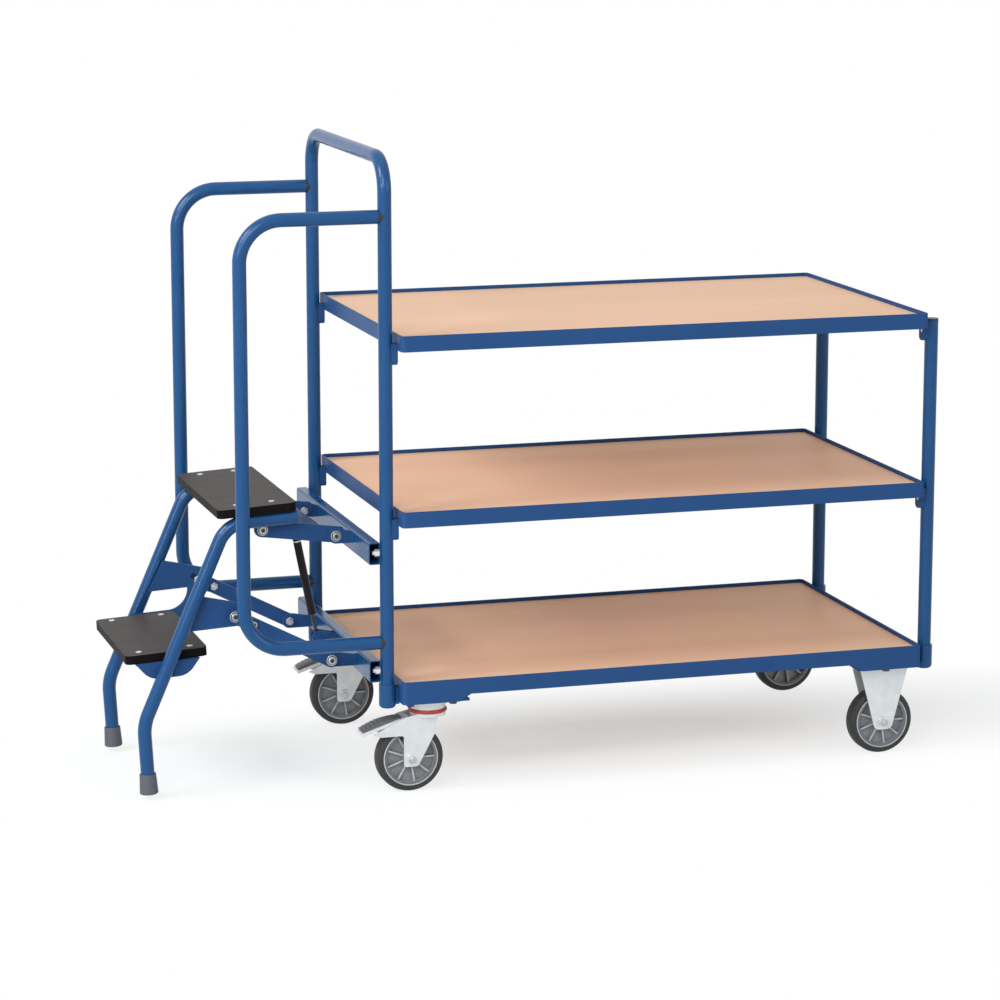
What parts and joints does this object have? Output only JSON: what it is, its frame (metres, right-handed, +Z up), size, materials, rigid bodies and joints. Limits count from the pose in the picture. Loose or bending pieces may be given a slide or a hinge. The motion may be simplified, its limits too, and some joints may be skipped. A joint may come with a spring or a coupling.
{
  "type": "order picking trolley",
  "caption": "Shelf trolley with push handle, guard rails and a gas-spring step stair at one end, on braked swivel and fixed casters, for order picking.",
  "frame": {"origin": "on the floor, under the middle of the overall box", "axes": "+X along the shelves away from the stair, +Y to the side, +Z up"},
  "size_m": [1.5162, 0.606, 1.1635],
  "materials": {
    "blue": "satin",
    "beech": "satin",
    "step_board": "textured",
    "black_plastic": "matte",
    "gas_black": "satin",
    "foot_rubber": "matte",
    "tyre": "matte",
    "wheel_grey": "satin",
    "red_seal": "satin",
    "chrome_rod": "polished",
    "zinc": "bright zinc"
  },
  "bodies": {
    "trolley": {"top_shelf_frame": "blue", "middle_shelf_frame": "blue", "lower_shelf_frame": "blue", "top_shelf_board": "beech", "middle_shelf_board": "beech", "lower_shelf_board": "beech", "handle_hoop": "blue", "right_uprights": "blue", "upright_plugs": "black_plastic", "upright_sockets": "blue", "shelf_hook_brackets": "blue", "shelf_hook_bolts": "zinc", "guard_rail_near": "blue", "guard_rail_far": "blue", "guard_rail_saddles": "black_plastic", "guard_rail_bolts": "zinc", "upper_cross_tube": "blue", "lower_cross_tube": "blue", "cross_tube_bolts": "zinc", "clevis_ears": "blue", "arm_pivot_bolts": "zinc", "gas_spring_foot": "blue", "swivel_tops": "zinc", "caster_seal_rings": "red_seal", "fixed_forks": "zinc", "fixed_axles": "zinc", "caster_plate_bolts": "zinc"},
    "upper_arms": {"upper_arm": "blue", "gas_spring_top_pin": "zinc"},
    "step_unit": {"step_leg_near": "blue", "step_leg_far": "blue", "foot_caps": "foot_rubber", "top_step_board": "step_board", "low_step_board": "step_board", "step_screws": "zinc", "top_step_bracket": "blue", "low_step_pan": "blue", "step_cheek_near": "blue", "step_cheek_far": "blue", "step_pivot_bolts": "zinc"},
    "lower_arms": {"lower_arm_near": "blue", "lower_arm_far": "blue", "lower_arm_rivets": "zinc"},
    "gas_rod": {"gas_spring_rod": "chrome_rod"},
    "gas_cylinder": {"gas_spring_cylinder": "gas_black"},
    "swivel_near": {"swivel_fork_near": "zinc", "swivel_axle_near": "zinc"},
    "brake_near": {"brake_pedal_near": "zinc"},
    "swivel_wheel_near": {"wheel_centre_swivel_near": "wheel_grey", "tyre_swivel_near": "tyre"},
    "fixed_wheel_near": {"wheel_centre_fixed_near": "wheel_grey", "tyre_fixed_near": "tyre"},
    "swivel_far": {"swivel_fork_far": "zinc", "swivel_axle_far": "zinc"},
    "brake_far": {"brake_pedal_far": "zinc"},
    "swivel_wheel_far": {"wheel_centre_swivel_far": "wheel_grey", "tyre_swivel_far": "tyre"},
    "fixed_wheel_far": {"wheel_centre_fixed_far": "wheel_grey", "tyre_fixed_far": "tyre"}
  },
  "joints": [
    {"name": "step_lift", "type": "hinge", "parent": "trolley", "child": "upper_arms", "pos_m": [-0.36874, 0, 0.459], "axis": [0, 1, 0], "range_deg": [-8.5, 0], "stiffness_Nm_per_rad": 80, "springref_deg": 22.92},
    {"name": "step_turn", "type": "hinge", "parent": "upper_arms", "child": "step_unit", "pos_m": [-0.50375, 0, 0.47701], "axis": [0, 1, 0], "range_deg": [0, 11.32]},
    {"name": "lower_arm_turn", "type": "hinge", "parent": "trolley", "child": "lower_arms", "pos_m": [-0.38274, 0, 0.232], "axis": [0, 1, 0], "range_deg": [-5.67, 0]},
    {"name": "gas_rod_turn", "type": "hinge", "parent": "trolley", "child": "gas_rod", "pos_m": [-0.36874, 0, 0.238], "axis": [0, 1, 0], "range_deg": [-0.63, 0]},
    {"name": "gas_stroke", "type": "slide", "parent": "gas_rod", "child": "gas_cylinder", "axis": [-0.192, 0, 0.9814], "range_m": [-0.00665, 0]},
    {"name": "swivel_turn_near", "type": "hinge", "parent": "trolley", "child": "swivel_near", "pos_m": [-0.22374, -0.2475, 0.14], "axis": [0, 0, 1], "continuous": true},
    {"name": "swivel_wheel_spin_near", "type": "hinge", "parent": "swivel_near", "child": "swivel_wheel_near", "pos_m": [-0.25974, -0.2475, 0.0625], "axis": [0, 1, 0], "continuous": true},
    {"name": "brake_press_near", "type": "hinge", "parent": "swivel_near", "child": "brake_near", "pos_m": [-0.26774, -0.2475, 0.1305], "axis": [0, 1, 0], "range_deg": [-10, 0], "stiffness_Nm_per_rad": 1.5, "springref_deg": 14.32},
    {"name": "fixed_wheel_spin_near", "type": "hinge", "parent": "trolley", "child": "fixed_wheel_near", "pos_m": [0.66176, -0.2475, 0.0625], "axis": [0, 1, 0], "continuous": true},
    {"name": "swivel_turn_far", "type": "hinge", "parent": "trolley", "child": "swivel_far", "pos_m": [-0.22374, 0.2475, 0.14], "axis": [0, 0, 1], "continuous": true},
    {"name": "swivel_wheel_spin_far", "type": "hinge", "parent": "swivel_far", "child": "swivel_wheel_far", "pos_m": [-0.25974, 0.2475, 0.0625], "axis": [0, 1, 0], "continuous": true},
    {"name": "brake_press_far", "type": "hinge", "parent": "swivel_far", "child": "brake_far", "pos_m": [-0.26774, 0.2475, 0.1305], "axis": [0, 1, 0], "range_deg": [-10, 0], "stiffness_Nm_per_rad": 1.5, "springref_deg": 14.32},
    {"name": "fixed_wheel_spin_far", "type": "hinge", "parent": "trolley", "child": "fixed_wheel_far", "pos_m": [0.66176, 0.2475, 0.0625], "axis": [0, 1, 0], "continuous": true}
  ],
  "couplings": [
    {"joint": "step_turn", "follows": "step_lift", "ratio": -1.3079},
    {"joint": "lower_arm_turn", "follows": "step_lift", "ratio": 0.64379},
    {"joint": "gas_rod_turn", "follows": "step_lift", "ratio": 0.062725},
    {"joint": "gas_stroke", "follows": "step_lift", "m_per_rad": 0.043504}
  ]
}
